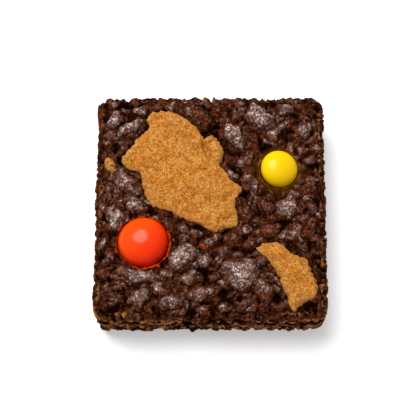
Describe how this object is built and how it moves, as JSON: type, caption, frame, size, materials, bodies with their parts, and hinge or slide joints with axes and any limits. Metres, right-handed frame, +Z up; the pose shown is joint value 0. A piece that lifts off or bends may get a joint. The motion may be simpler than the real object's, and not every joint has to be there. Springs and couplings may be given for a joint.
{
  "type": "chocolate brownie",
  "caption": "Square chocolate brownie with a glossy crackled crust, cookie pieces and sugar-coated sweets baked into its top.",
  "frame": {"origin": "under the middle of the flat base, where the brownie rests", "axes": "+X to the brownie's right, +Y to its back, +Z up through the crust; the side nearest the camera faces -Y"},
  "size_m": [0.0634, 0.065, 0.0218],
  "materials": {
    "brownie": "satin",
    "cookie": "matte",
    "candy_orange": "gloss",
    "candy_yellow": "gloss"
  },
  "bodies": {
    "root": {"brownie": "brownie", "cookie_large": "cookie", "cookie_small": "cookie", "candy_orange": "candy_orange", "candy_yellow": "candy_yellow"}
  },
  "joints": []
}
